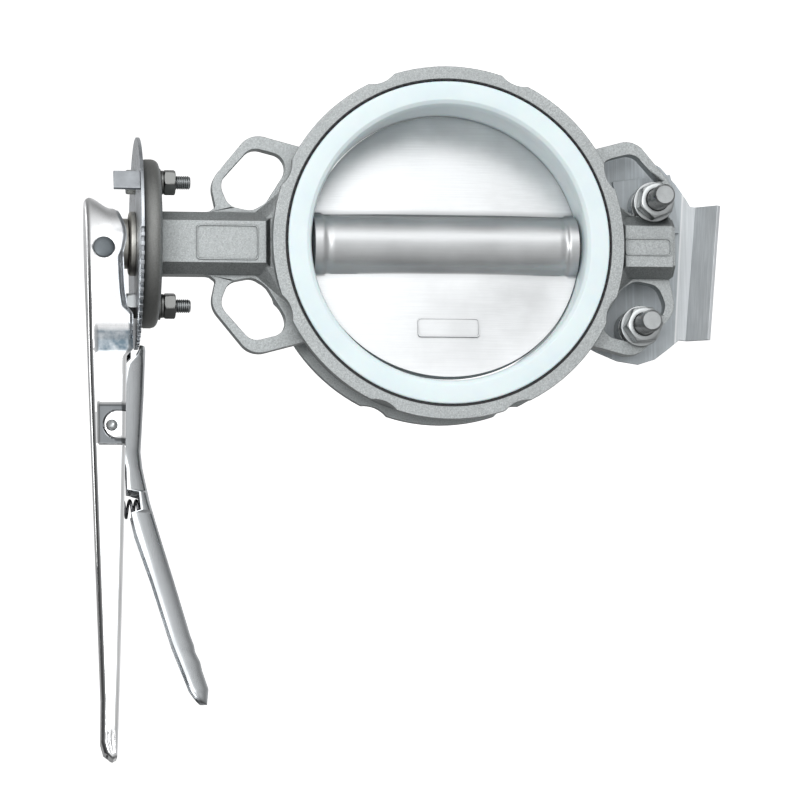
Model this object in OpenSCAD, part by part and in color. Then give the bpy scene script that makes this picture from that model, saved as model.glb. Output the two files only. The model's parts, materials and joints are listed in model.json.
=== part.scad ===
// Lever-operated wafer butterfly valve, 200 mm line size, standing upright.
// +Z runs up the stem to the handle, Y is the pipe axis, the front face looks to -Y.

/* [Wafer body] */
// Outside diameter of the two flange rims, mm
rim_d = 255; // [240:1:265]
// Face to face width of the metal body, mm
face_w = 60; // [50:1:70]
// Width of each rim along the pipe, mm
rim_w = 8; // [6:0.5:12]
// Outside diameter of the recessed wall between the rims, mm
web_d = 242; // [236:1:250]
// Bolt circle the rim scallops follow, mm
scallop_pcd = 291; // [280:0.5:300]
// Radius of each scallop, mm
scallop_r = 21; // [10:0.5:24]
// Thickness of the four loop ears, mm
ear_t = 12; // [8:0.5:18]
// Half width of the flat front of the neck, mm
neck_flat = 15; // [10:0.5:20]
// Half width of the neck at its widest, mm
neck_half = 22.5; // [18:0.5:28]
// Half depth of the neck along the pipe, mm
neck_deep = 18; // [14:0.5:22]
// Height of the underside of the top flange above the pipe axis, mm
flange_z = 207.5; // [190:0.5:230]
// Thickness of the top flange, mm
flange_t = 13.8; // [8:0.5:18]
// Diameter of the top flange, mm
flange_d = 121; // [100:1:140]
// Depth of the closed bottom boss below the pipe axis, mm
boss_z = 168; // [150:1:175]

/* [Seat and disc] */
// Bore of the white liner, mm
liner_bore = 197.8; // [190:0.2:205]
// Outside diameter of the liner lip on each face, mm
liner_lip_d = 233.2; // [220:0.2:240]
// Outside diameter of the black backing ring, mm
backing_d = 236.4; // [230:0.2:244]
// Spherical diameter of the disc edge, mm
disc_d = 197.2; // [190:0.2:204]
// Thickness of the disc at its centre, mm
disc_t = 14; // [8:0.5:20]
// Diameter of the hub across the disc, mm
hub_d = 45; // [28:1:46]
// Disc and lever opening in the stored pose, degrees
open_deg = 10; // [0:1:90]

/* [Stem] */
// Stem diameter, mm
stem_d = 22; // [16:1:28]
// Across flats of the square drive at the top, mm
square = 15; // [11:0.5:19]
// Radial running clearance of the stem in its bushes, mm
run_gap = 0.05; // [0.01:0.01:0.1]

/* [Notch plate] */
// Radius of the notch plate, mm
plate_r = 76; // [65:0.5:95]
// Thickness of the notch plate, mm
plate_t = 2.5; // [1.5:0.5:5]
// Angle from one notch to the next, degrees
notch_pitch = 5; // [5:1:15]
// Depth of a notch, mm
notch_deep = 5; // [3:0.5:8]
// Centre distance of the two flange bolts, mm
bolt_span = 89.2; // [80:0.2:102]

/* [Lever and latch] */
// Length of the lever from the stem axis, mm
lever_l = 372.5; // [300:0.5:420]
// Sheet thickness of the lever, mm
sheet = 2; // [1.5:0.25:3]
// Distance of the latch pivot from the stem axis, mm
pivot_l = 137.5; // [110:0.1:160]
// Height of the latch pivot above the pipe axis, mm
pivot_z = 242.2; // [235:0.1:246]

/* [Support foot] */
// Centre distance of the two support studs, mm
stud_span = 91.8; // [80:0.1:110]
// Diameter of the support studs, mm
stud_d = 16; // [12:1:20]
// Sheet thickness of the support foot, mm
foot_t = 3; // [2:0.5:5]
// Tilt of the support foot in its loops, degrees
foot_tilt = 5.25; // [0:0.25:8]

/* [Hidden] */

rim_r = rim_d / 2;
web_r = web_d / 2;
half_w = face_w / 2;
rim_in = half_w - rim_w;
ear_h = ear_t / 2;
stem_r = stem_d / 2;
bush_r = stem_r + 2;
flange_top = flange_z + flange_t;
root_z = 131;
root_y = bush_r + 2;
plate_top = flange_top + plate_t;
collar_top = plate_top + 4.6;
hub_z = collar_top + 0.5;
square_z = hub_z + 0.5;
stem_top = 251;
stem_low = -149;
back_r = backing_d / 2;
lip_r = liner_lip_d / 2;
liner_r = liner_bore / 2;
liner_mid = liner_r + 6;
back_in = 110;
step_y = 20;
pocket_y = 24;
rivet_l = 10.2;
rivet_z = 247;
foot_x = -14;
foot_z = -145.8;
foot_y = 21.2;
stud_x = -11.7;
stud_z = -148.8;
stud_tilt = 6.75;
tab_top = 242.5;
tab_r = 9.4;
spring_t = 2.3;
spot_r = 15.5;
spot_t = 0.02;
rivet_r = 2.4;
pin_r = 3;
snug = 0.03;

$fn = 72;

// Solid cylinder along the pipe axis from y0 to y1.
module ycyl(r, y0, y1, x = 0, z = 0) {
  translate([x, y1, z])
    rotate([90, 0, 0])
      cylinder(r = r, h = y1 - y0);
}

// An outline drawn in x and z, thick from y0 to y1.
module slab(y0, y1) {
  translate([0, y1, 0])
    rotate([90, 0, 0])
      linear_extrude(y1 - y0)
        children();
}

// A profile of radius and y, spun about the pipe axis.
module yspin() {
  rotate([-90, 0, 0])
    rotate_extrude($fn = 180)
      children();
}

// Polygon prism along y with every corner rounded to radius r.
module round_slab(pts, r, y0, y1) {
  slab(y0, y1)
    offset(r = r, $fn = 48)
      polygon(pts);
}

// Hexagonal prism along z, given its size across flats.
module hex(af, h) {
  cylinder(r = af / sqrt(3), h = h, $fn = 6);
}

// Children turned with the stem into the stored pose.
module turned() {
  rotate([0, 0, open_deg])
    children();
}

// Children drawn along +X of the lever, turned to where the lever points.
module lever_frame() {
  rotate([0, 0, 180 + open_deg])
    children();
}

// ---------------------------------------------------------------- wafer body

ear_outer = [[62, 135], [40.5, 152.5], [6, 145], [6, 112], [53.8, 104]];
ear_hole = [[58, 136.8], [42, 151], [37, 149], [35.6, 142], [38, 138], [55.5, 127]];
neck_line = [[neck_flat, -neck_deep], [neck_half, -9], [neck_half, 9], [neck_flat, neck_deep],
  [-neck_flat, neck_deep], [-neck_half, 9], [-neck_half, -9], [-neck_flat, -neck_deep]];

// Octagonal neck up to z, with its front and back stepped down beside the rims.
module neck(z) {
  intersection() {
    linear_extrude(z)
      polygon(neck_line);
    translate([-neck_half, 0, 0])
      rotate([90, 0, 90])
        linear_extrude(2 * neck_half)
          polygon([[neck_deep, z], [neck_deep, root_z], [root_y, root_z + root_y - neck_deep],
            [root_y, 100], [-root_y, 100], [-root_y, root_z + root_y - neck_deep],
            [-neck_deep, root_z], [-neck_deep, z]]);
  }
}

// The four ears are one quarter outline mirrored left to right and top to bottom.
module quarters() {
  for (sx = [0, 1], sz = [0, 1])
    mirror([sx, 0, 0])
      mirror([0, 0, sz])
        children();
}

module body() {
  color("silver")
  difference() {
    union() {
      ycyl(web_r, -rim_in, rim_in, $fn = 180);
      for (s = [0, 1])
        mirror([0, s, 0])
          difference() {
            ycyl(rim_r, -half_w, -rim_in, $fn = 180);
            for (i = [0 : 7])
              rotate([0, 22.5 + 45 * i, 0])
                ycyl(scallop_r, -half_w - 1, -rim_in + 0.01, 0, scallop_pcd / 2);
          }
      neck(flange_z + 1);
      mirror([0, 0, 1])
        neck(boss_z - 2);
      translate([0, 0, -boss_z])
        linear_extrude(3)
          polygon([for (p = neck_line) [p[0] * 0.93, p[1] * 0.93]]);
      for (sz = [0, 1])
        mirror([0, 0, sz])
          hull() {
            slab(-ear_h, ear_h)
              polygon([[-21.5, 139.5], [21.5, 139.5], [42, 116], [-42, 116]]);
            slab(-root_y, root_y)
              polygon([[-17, root_z], [17, root_z], [22, 118], [-22, 118]]);
          }
      rotate_extrude($fn = 120)
        polygon([[0, flange_z], [flange_d / 2 - 5, flange_z], [flange_d / 2 - 2.4, flange_z + 0.8],
          [flange_d / 2 - 0.7, flange_z + 2.6], [flange_d / 2, flange_z + 5],
          [flange_d / 2, flange_top - 4], [flange_d / 2 - 1, flange_top - 1.4],
          [flange_d / 2 - 3, flange_top], [0, flange_top]]);
      for (s = [0, 1])
        mirror([s, 0, 0])
          difference() {
            slab(-ear_h, ear_h)
              polygon([[20, 175], [22.5, 175], [23.4, 170.5], [26, 167], [30, 165], [30, 158],
                [20, 158]]);
            round_slab(ear_hole, 11, -ear_h - 1, ear_h + 1);
          }
      quarters()
        difference() {
          round_slab(ear_outer, 16.5, -ear_h, ear_h);
          round_slab(ear_hole, 11, -ear_h - 1, ear_h + 1);
        }
    }
    ycyl(back_in, -half_w - 1, half_w + 1, $fn = 180);
    for (s = [0, 1])
      mirror([0, s, 0])
        ycyl(back_r, -half_w - 1, -step_y, $fn = 180);
    translate([0, 0, 90])
      cylinder(r = bush_r, h = flange_top - 89);
    translate([0, 0, stem_low - 3])
      cylinder(r = bush_r, h = 60);
    for (s = [-1, 1])
      translate([s * bolt_span / 2, 0, flange_z - 1])
        cylinder(r = 5.5, h = flange_t + 2);
    at_studs()
      ycyl(stud_d / 2 + 0.5, -ear_h - 1, ear_h + 1);
    at_studs()
      for (y = [-ear_h - 25, ear_h - spot_t])
        ycyl(spot_r, y, y + 25 + spot_t);
  }
}

// ------------------------------------------------------------- seat and disc

module stem_hole(r) {
  translate([0, 0, -130])
    cylinder(r = r, h = 260);
}

module backing_ring() {
  color("black")
  difference() {
    yspin()
      polygon([[liner_mid, -pocket_y], [lip_r, -pocket_y], [lip_r, -half_w - 0.2],
        [back_r, -half_w - 0.2], [back_r, -step_y], [back_in, -step_y], [back_in, step_y],
        [back_r, step_y], [back_r, half_w + 0.2], [lip_r, half_w + 0.2], [lip_r, pocket_y],
        [liner_mid, pocket_y]]);
    stem_hole(stem_r + 0.5);
  }
}

module seat_liner() {
  color("white")
  difference() {
    yspin()
      polygon([[liner_r, -22], [liner_r + 0.7, -27], [liner_r + 1.8, -29.4],
        [liner_r + 3.4, -half_w - 0.5], [lip_r, -half_w - 0.5], [lip_r, -pocket_y],
        [liner_mid, -pocket_y], [liner_mid, pocket_y], [lip_r, pocket_y],
        [lip_r, half_w + 0.5], [liner_r + 3.4, half_w + 0.5], [liner_r + 1.8, 29.4],
        [liner_r + 0.7, 27], [liner_r, 22]]);
    stem_hole(stem_r + 0.5);
  }
}

module disc() {
  color("gainsboro")
  turned()
    difference() {
      intersection() {
        sphere(r = disc_d / 2, $fn = 120);
        union() {
          yspin()
            polygon([[0, -disc_t / 2], [60, -disc_t / 2 + 1], [disc_d / 2 + 1, -4.2],
              [disc_d / 2 + 1, 4.2], [60, disc_t / 2 - 1], [0, disc_t / 2]]);
          translate([0, 0, -100])
            cylinder(r = hub_d / 2, h = 200);
          for (s = [0, 1])
            mirror([0, 0, s])
              translate([0, 0, 86])
                cylinder(r = hub_d / 2 + 1, h = 26);
        }
      }
      translate([0, 0, -110])
        cylinder(r = stem_r, h = 220);
    }
}

// --------------------------------------------------------------- stem parts

module stem() {
  color("lightgray")
  turned()
    difference() {
      union() {
        translate([0, 0, stem_low])
          cylinder(r = stem_r, h = square_z - stem_low);
        translate([-square / 2, -square / 2, square_z - 1])
          cube([square, square, stem_top - square_z + 1]);
      }
      for (z = [178, 188])
        translate([0, 0, z])
          difference() {
            cylinder(r = stem_r + 1, h = 3);
            translate([0, 0, -1])
              cylinder(r = stem_r - 2.65, h = 5);
          }
    }
}

module stem_orings() {
  color("black")
  for (z = [178, 188])
    translate([0, 0, z + 1.5])
      rotate_extrude($fn = 60)
        translate([stem_r - 1.35, 0])
          circle(r = 1.25, $fn = 20);
}

module bush(z0, z1) {
  translate([0, 0, z0])
    difference() {
      cylinder(r = bush_r, h = z1 - z0);
      translate([0, 0, -1])
        cylinder(r = stem_r + run_gap, h = z1 - z0 + 2);
    }
}

module upper_bush() {
  color("ivory")
  bush(back_in + 2, flange_top);
}

module lower_bush() {
  color("ivory")
  bush(stem_low - 3, -back_in - 2);
}

// ------------------------------------------------- notch plate and flange bolts

module notch_plate() {
  color("lightsteelblue")
  difference() {
    union() {
      translate([0, 0, flange_top])
        cylinder(r = plate_r, h = plate_t, $fn = 120);
      rotate([0, 0, -60.5])
        translate([plate_r - 4.2, -7.5, flange_top])
          cube([plate_t, 15, tab_top - flange_top]);
    }
    translate([0, 0, flange_top - 1])
      cylinder(r = stem_r + 1.5, h = plate_t + 2);
    for (s = [-1, 1])
      translate([s * bolt_span / 2, 0, flange_top - 1])
        cylinder(r = 5.5, h = plate_t + 2);
    for (a = [180 : notch_pitch : 270])
      rotate([0, 0, a])
        translate([plate_r - notch_deep, -1.8, flange_top - 1])
          cube([notch_deep + 2, 3.6, plate_t + 2]);
  }
}

module gland_collar() {
  color("dimgray")
  translate([0, 0, plate_top])
    difference() {
      rotate_extrude($fn = 90)
        polygon([[stem_r + 0.8, 0], [23, 0], [23, 3.4], [21.8, 4.6], [stem_r + 0.8, 4.6]]);
      translate([0, 0, -1])
        cylinder(r = stem_r + 0.6, h = 1);
    }
}

module flange_bolts() {
  color("lightgray")
  for (s = [-1, 1])
    translate([s * bolt_span / 2, 0, 0]) {
      translate([0, 0, plate_top])
        hex(17, 6.4);
      translate([0, 0, 184])
        cylinder(r = 5, h = plate_top - 184 + 1);
    }
}

module flange_washers() {
  color("lightgray")
  for (s = [-1, 1])
    translate([s * bolt_span / 2, 0, flange_z - 2])
      difference() {
        union() {
          cylinder(r = 10, h = 2);
          translate([0, 0, -spring_t])
            cylinder(r = 8.6, h = spring_t + 1);
        }
        translate([0, 0, -spring_t - 1])
          cylinder(r = 5.25, h = spring_t + 4);
      }
}

module flange_nuts() {
  color("lightgray")
  for (s = [-1, 1])
    translate([s * bolt_span / 2, 0, flange_z - 10.4 - spring_t])
      difference() {
        hex(17, 8.4);
        translate([0, 0, -1])
          cylinder(r = 5 + snug, h = 11);
      }
}

// ------------------------------------------------------------- lever and latch

// Height of the top of the lever at distance l from the stem.
function lever_top(l) = l < 330 ? 260.2 - (l + 34) * 8.6 / 364 : 251.6;

lever_side = [[-34, 260.2], [330, 251.6], [lever_l - 7, 252], [lever_l, 247], [lever_l, 240],
  [lever_l - 13, 239.8], [305, 237.6], [220, 234.6], [150, 232.5], [86, 231.5], [82, 226.2],
  [57, 226.2], [52, 230.5], [43, 232.6], [14, 234.4], [8, 231.8], [2, 230.4], [-4, 231],
  [-12, 233], [-20, 235.6], [-25, 238.5], [-25.5, 246], [-34, 257.2]];
lever_half = [[-36, 4], [-25.5, 9], [0, 25], [14, 25], [45, 19.5], [75, 14.8], [100, 13],
  [lever_l, 11]];
trigger_side = [[76.7, 217.4], [80, 217], [154, 221.6], [190, 215.6], [220, 207.4], [251, 198.6],
  [286, 188.6], [323, 177], [329.5, 177.8], [329.5, 181], [323, 188.6], [292.5, 200.6],
  [247, 214.8], [208, 226], [206.5, 221.8], [184.5, 223.2], [183, 231.6], [167.5, 232],
  [152, 236], [120, 236], [97, 232.2],
  [92, 230.6], [86.5, 225], [80, 222], [76.7, 221.6]];
trigger_half = [[76.7, 4.5], [86, 10.3], [148, 10.3], [205, 9.6], [260, 9], [334, 8.6]];

// Plan outline from a list of half widths, shrunk by t.
module plan(half, t) {
  n = len(half);
  polygon(concat(
    [for (i = [0 : n - 1]) [half[i][0] + (i == 0 ? t : i == n - 1 ? -t : 0), half[i][1] - t]],
    [for (i = [n - 1 : -1 : 0]) [half[i][0] + (i == 0 ? t : i == n - 1 ? -t : 0), t - half[i][1]]]));
}

// Shallow pressed pocket in both walls round a round-nosed boss that holds the latch pin.
module latch_pocket() {
  difference() {
    slab(-40, 40)
      polygon([[120.8, 236], [122.3, 235], [150.1, 235], [151.6, 236], [151.6, 250.8],
        [150.1, 252.2], [122.3, 252.2], [120.8, 250.8]]);
    slab(-11.7, 11.7)
      polygon([[115, 230], [155, 230], [155, 255], [115, 255]]);
    ycyl(tab_r, -41, 41, pivot_l - 0.8, pivot_z + 4.9 - tab_r);
    translate([pivot_l - 0.8 - tab_r, -41, 230])
      cube([2 * tab_r, 82, pivot_z + 4.9 - tab_r - 230]);
  }
}

module lever() {
  color("white")
  lever_frame()
    difference() {
      intersection() {
        slab(-40, 40)
          polygon(lever_side);
        translate([0, 0, 200])
          union() {
            linear_extrude(80)
              plan(lever_half, 0);
            cylinder(r = 25, h = 80);
          }
      }
      intersection() {
        slab(-40, 40)
          polygon([[-40, 258.1], [330, 249.6], [lever_l + 2, 249.6], [lever_l + 2, 200],
            [-40, 200]]);
        translate([0, 0, 190])
          union() {
            linear_extrude(90)
              plan([for (h = lever_half) if (h[0] > -1) h], sheet);
            cylinder(r = 25 - sheet, h = 90);
          }
      }
      latch_pocket();
      ycyl(rivet_r + snug, -40, 40, rivet_l, rivet_z);
      ycyl(pin_r + snug, -40, 40, pivot_l, pivot_z);
    }
}

module lever_hub() {
  color("gray")
  lever_frame()
    difference() {
      union() {
        translate([0, 0, hub_z])
          cylinder(r = 18, h = 7);
        translate([0, 0, hub_z + 6])
          cylinder(r = 22.7, h = stem_top - hub_z - 6);
      }
      translate([-square / 2, -square / 2, hub_z + 0.5])
        cube([square, square, 40]);
      translate([0, 0, hub_z - 1])
        cylinder(r = stem_r, h = 1.5);
      ycyl(rivet_r + snug, -40, 40, rivet_l, rivet_z);
    }
}

module hub_rivet() {
  color("silver")
  lever_frame() {
    ycyl(rivet_r, -25.5, 25.5, rivet_l, rivet_z);
    for (s = [0, 1])
      mirror([0, s, 0])
        ycyl(7.5, 25, 26.2, rivet_l, rivet_z);
  }
}

module trigger() {
  color("white")
  lever_frame()
    difference() {
      intersection() {
        union() {
          slab(-20, 20)
            polygon(trigger_side);
          ycyl(9.2, -20, 20, pivot_l, pivot_z);
          translate([pivot_l - 9, -20, 230])
            cube([18, 40, pivot_z - 230]);
        }
        translate([0, 0, 150])
          linear_extrude(120)
            plan(trigger_half, 0);
      }
      intersection() {
        slab(-20, 20)
          polygon([[79.2, 219.2], [154.3, 223.7], [190.6, 217.7], [220.6, 209.5], [251.6, 200.6],
            [286.6, 190.6], [323.4, 179.1], [327.5, 179.6], [327.5, 275], [79.2, 275]]);
        translate([0, 0, 150])
          linear_extrude(120)
            plan([for (h = trigger_half) [h[0], h[1] - 1.9]], 0.1);
      }
      ycyl(pin_r + run_gap, -40, 40, pivot_l, pivot_z);
    }
}

module trigger_pin() {
  color("silver")
  lever_frame() {
    ycyl(pin_r, -13.4, 13.4, pivot_l, pivot_z);
    for (s = [0, 1])
      mirror([0, s, 0])
        ycyl(4.2, 12.9, 14, pivot_l, pivot_z);
  }
}

// Coil stack between the latch web and the underside of the lever.
module trigger_spring() {
  color("dimgray")
  lever_frame()
    translate([195, 0, 219])
      rotate_extrude($fn = 40)
        polygon(concat(
          [for (i = [0 : 10]) [7.2 - (i % 2) * 1.2, i * 3.35]],
          [[5, 33.5], [5, 0]]));
}

// ---------------------------------------------------------------- support foot

foot_line = [[60, 44], [78, 34], [85, 18], [85.5, 0], [80, -13], [68, -26], [58, -34.5],
  [53, -38], [53, -41.8], [-47, -41.8], [-47, -37], [-54, -30], [-63, -20], [-68, -8], [-67, 8],
  [-62, 24], [-56, 38]];

// Children drawn about the middle of the stud line, tilted with the foot.
module foot_frame() {
  translate([foot_x, 0, foot_z])
    rotate([0, foot_tilt, 0])
      children();
}

// Children drawn at each support stud, or at the right-hand one only.
module at_studs(sides = [-1, 1]) {
  translate([stud_x, 0, stud_z])
    rotate([0, stud_tilt, 0])
      for (s = sides)
        translate([s * stud_span / 2, 0, 0])
          children();
}

module support_foot() {
  color("slategray")
  difference() {
    foot_frame() {
      slab(foot_y, foot_y + foot_t)
        polygon(foot_line);
      translate([-47, foot_y, -43.5])
        rotate([90, 0, 90])
          linear_extrude(100)
            polygon([[0, 3], [foot_t, 3], [foot_t, 0], [foot_t - 21, -13],
              [foot_t - 22.6, -10.45], [0, 1.7]]);
    }
    ycyl(rim_r + 0.8, -50, 50, $fn = 180);
    at_studs()
      ycyl(stud_d / 2 + 0.5, -50, 50);
  }
}

module foot_studs() {
  color("silver")
  at_studs()
    ycyl(stud_d / 2, -46, 45);
}

module foot_nuts() {
  color("silver")
  at_studs()
    for (y = [[-ear_h - 3 - 13, -ear_h - 3], [foot_y + foot_t + 3, foot_y + foot_t + 16]])
      difference() {
        translate([0, y[1], 0])
          rotate([90, 0, 0])
            hex(24, y[1] - y[0]);
        ycyl(stud_d / 2 + snug, y[0] - 1, y[1] + 1);
      }
}

module foot_washers() {
  color("silver")
  at_studs()
    for (y = [-ear_h - 3, foot_y + foot_t])
      difference() {
        ycyl(15, y, y + 3);
        ycyl(stud_d / 2 + 0.5, y - 1, y + 4);
      }
}

module square_washer() {
  color("silver")
  at_studs([1])
    rotate([0, -14.5, 0])
      difference() {
        translate([-22, foot_y - 3, -22])
          cube([44, 3, 44]);
        ycyl(stud_d / 2 + 0.5, 0, 30);
      }
}

module foot_spacers() {
  color("silver")
  for (s = [-1, 1])
    at_studs([s])
      difference() {
        ycyl(14, ear_h, foot_y - (s > 0 ? 3 : 0));
        ycyl(stud_d / 2 + 0.5, 0, 30);
      }
}

body();
backing_ring();
seat_liner();
disc();
stem();
upper_bush();
lower_bush();
stem_orings();
notch_plate();
gland_collar();
flange_bolts();
flange_washers();
flange_nuts();
lever();
lever_hub();
hub_rivet();
trigger();
trigger_pin();
trigger_spring();
support_foot();
foot_studs();
foot_nuts();
foot_washers();
square_washer();
foot_spacers();
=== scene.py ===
import json
import math

import bmesh
import bpy
from mathutils import Matrix, Vector

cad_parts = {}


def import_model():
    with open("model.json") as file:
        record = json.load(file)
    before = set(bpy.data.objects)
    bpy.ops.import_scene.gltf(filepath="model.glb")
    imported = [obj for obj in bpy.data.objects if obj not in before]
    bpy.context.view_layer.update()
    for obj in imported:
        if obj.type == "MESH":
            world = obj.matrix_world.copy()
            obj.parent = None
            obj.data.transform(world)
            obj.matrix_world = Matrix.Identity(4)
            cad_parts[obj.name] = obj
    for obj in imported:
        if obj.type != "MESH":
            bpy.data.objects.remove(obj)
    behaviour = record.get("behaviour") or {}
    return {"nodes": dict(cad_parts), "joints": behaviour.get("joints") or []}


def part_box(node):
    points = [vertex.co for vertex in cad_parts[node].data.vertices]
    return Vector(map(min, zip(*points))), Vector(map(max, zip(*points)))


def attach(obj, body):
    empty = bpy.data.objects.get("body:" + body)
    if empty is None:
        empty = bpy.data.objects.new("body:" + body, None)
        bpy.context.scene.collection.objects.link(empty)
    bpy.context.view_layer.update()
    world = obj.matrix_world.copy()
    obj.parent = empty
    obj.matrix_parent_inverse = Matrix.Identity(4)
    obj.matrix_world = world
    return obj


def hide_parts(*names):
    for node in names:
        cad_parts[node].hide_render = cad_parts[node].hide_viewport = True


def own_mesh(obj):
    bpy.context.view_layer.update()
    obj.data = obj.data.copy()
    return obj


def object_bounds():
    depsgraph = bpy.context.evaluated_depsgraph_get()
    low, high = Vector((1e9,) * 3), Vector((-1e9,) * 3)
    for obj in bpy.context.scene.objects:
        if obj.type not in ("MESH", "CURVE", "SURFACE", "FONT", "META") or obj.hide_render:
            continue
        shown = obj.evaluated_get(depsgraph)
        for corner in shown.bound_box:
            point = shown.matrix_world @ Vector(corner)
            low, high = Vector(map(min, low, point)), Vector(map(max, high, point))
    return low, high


# Looks of a lever-operated wafer butterfly valve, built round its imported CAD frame.
# Lengths are millimetres in the row frame and become metres where a mesh is made.
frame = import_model()
cad_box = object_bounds()

MM = 0.001
VALVE, TURNING, LATCH = "valve_body", "turning_set", "latch"


def node_box(node):
    """Lowest and highest corner of a CAD node in millimetres."""
    lo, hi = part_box(node)
    return lo / MM, hi / MM


# ------------------------------------------------------------------- places from the frame

BODY_TOP = node_box("body")[1].z
LINER_HI = node_box("seat_liner")[1]
LIP_R, LINER_Y = LINER_HI.x, LINER_HI.y
LINER_R, DISC_R = 98.9, 98.6

# The lever's own coordinates are run, the distance out from the stem, wide, across it, and z.
LATCH_JOINT = next(j for j in frame["joints"] if j["name"] == "latch_squeeze")
PIVOT = Vector(LATCH_JOINT["pos_m"]) / MM
PIVOT_RUN, PIVOT_Z = math.hypot(PIVOT.x, PIVOT.y), PIVOT.z
LEVER_ANGLE = math.atan2(PIVOT.y, PIVOT.x)
LEVER_TURN = Matrix.Rotation(LEVER_ANGLE, 4, "Z")
DISC_TURN = LEVER_TURN @ Matrix.Rotation(math.pi, 4, "Z")
# The latch pin stands on a round tab, in a pocket pressed into the lever's wall.
TAB_R = 9.4
TAB_RUN, TAB_Z = PIVOT_RUN - 0.8, PIVOT_Z + 4.9 - TAB_R
POCKET_LO, POCKET_HI, POCKET_TOP = 120.2, 152.2, 252.8
PAD_LO, PAD_HI = 68, 84  # the pad pressed in behind the head
RIVET_RUN, RIVET_Z = 10.2, 247.0

BOLT_R, BOLT_PITCH, BOLT_FLATS, BOLT_HEAD = 5, 1.5, 17, 6.4
BOLT_LO, BOLT_HI = node_box("flange_bolts")
BOLT_X = BOLT_HI.x - BOLT_FLATS / math.sqrt(3)
NUT_LO, NUT_HI = node_box("flange_nuts")
WASHER_TOP = node_box("flange_washers")[1].z

STUD_R, STUD_PITCH, STUD_FLATS, STUD_NUT = 8.0, 2.0, 24, 13
STUD_LO, STUD_HI = node_box("foot_studs")
STUDS = [
    (STUD_HI.x - STUD_R, STUD_LO.z + STUD_R),
    (STUD_LO.x + STUD_R, STUD_HI.z - STUD_R),
]
SPOT_CLEAR = 18.5  # keeps broken edges off the spot faces round the studs
EAR_Y = 6.0  # half the depth of the lower ears
FOOT_BACK = node_box("support_foot")[1].y
FOLD_Z, FOLD_SLOPE = -179.6, 0.067  # the foot's fold: z at x = 0, and its fall per unit of x
CLEARANCE = 0.05  # between a nut's bore and its thread

# ------------------------------------------------------------------------------ mesh helpers


def smooth_step(x, a, b):
    """0 below a, 1 above b, and a soft rise between."""
    t = max(0.0, min(1.0, (x - a) / (b - a)))
    return t * t * (3 - 2 * t)


def along(table, x):
    """Reads a table of (x, value) pairs at x, in straight lines."""
    for (x0, v0), (x1, v1) in zip(table, table[1:]):
        if x <= x1:
            return v0 + (v1 - v0) * max(0.0, (x - x0) / (x1 - x0))
    return table[-1][1]


def spread(a, b, n):
    """n + 1 even steps from a to b."""
    return [a + (b - a) * i / n for i in range(n + 1)]


def rounded(points, radius, steps=4, closed=True):
    """An outline with its corners turned into arcs of about the given radius."""
    out, n = [], len(points)
    for i in range(n):
        p = Vector(points[i])
        if not closed and i in (0, n - 1):
            out.append(tuple(p))
            continue
        a, b = Vector(points[i - 1]) - p, Vector(points[(i + 1) % n]) - p
        half = max(a.angle(b, math.pi) / 2, 0.05)
        reach = min(radius / math.tan(half), 0.48 * a.length, 0.48 * b.length)
        s, e = p + a.normalized() * reach, p + b.normalized() * reach
        for k in range(steps + 1):
            t = k / steps
            out.append(tuple(s * (1 - t) ** 2 + p * 2 * t * (1 - t) + e * t * t))
    return out


def grid(rows, close_rows=False, close_cols=False):
    """Points and quads of a list of equally long rows of points."""
    n, m = len(rows), len(rows[0])
    points = [p for row in rows for p in row]
    faces = []
    for i in range(n if close_rows else n - 1):
        for j in range(m if close_cols else m - 1):
            k, up = (j + 1) % m, ((i + 1) % n) * m
            faces.append((i * m + j, i * m + k, up + k, up + j))
    return points, faces


def merge(*shapes):
    """Several (points, faces) shapes as one."""
    points, faces = [], []
    for p, f in shapes:
        base = len(points)
        points += p
        faces += [tuple(i + base for i in face) for face in f]
    return points, faces


def moved(shape, matrix):
    """A shape with every point taken through a matrix."""
    return [tuple(matrix @ Vector(p)) for p in shape[0]], shape[1]


def lathe(profile, segments=96):
    """A closed (radius, height) profile spun about z."""
    rows = []
    for i in range(segments):
        a = 2 * math.pi * i / segments
        rows.append([(r * math.cos(a), r * math.sin(a), h) for r, h in profile])
    return grid(rows, True, True)


def cap(ring):
    """A ring drawn together to its middle, which closes an end."""
    middle = tuple(sum(c) / len(ring) for c in zip(*ring))
    return [middle] * len(ring)


def at(x, y, z):
    """Moves a shape to a place."""
    return Matrix.Translation((x, y, z))


def on_y(x=0.0, y=0.0, z=0.0):
    """Stands a shape made about z on the y axis instead, base at y and rising to +y."""
    return Matrix.Translation((x, y, z)) @ Matrix.Rotation(-math.pi / 2, 4, "X")


def new_mesh(name, shape, closed=True):
    """A Blender mesh in metres from a shape in millimetres, with double points welded."""
    mesh = bpy.data.meshes.new(name)
    mesh.from_pydata([Vector(p) * MM for p in shape[0]], [], shape[1])
    bm = bmesh.new()
    bm.from_mesh(mesh)
    bmesh.ops.remove_doubles(bm, verts=bm.verts, dist=2e-6)
    bmesh.ops.dissolve_degenerate(bm, edges=bm.edges, dist=1e-6)
    if closed:
        bmesh.ops.recalc_face_normals(bm, faces=bm.faces)
    bm.to_mesh(mesh)
    bm.free()
    return mesh


def settle(obj):
    """Turns an object's modifiers into its mesh."""
    bpy.context.view_layer.update()
    seen = obj.evaluated_get(bpy.context.evaluated_depsgraph_get())
    mesh = bpy.data.meshes.new_from_object(seen)
    obj.modifiers.clear()
    obj.data = mesh


def link(name, data):
    """A new object in the scene with a mesh, camera or light."""
    obj = bpy.data.objects.new(name, data)
    bpy.context.scene.collection.objects.link(obj)
    return obj


def bevel(obj, width, angle=28):
    """Breaks the edges sharper than angle."""
    step = obj.modifiers.new("edges", "BEVEL")
    step.width, step.segments = width * MM, 2
    step.limit_method, step.angle_limit = "ANGLE", math.radians(angle)
    step.use_clamp_overlap = False
    settle(obj)


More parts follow.
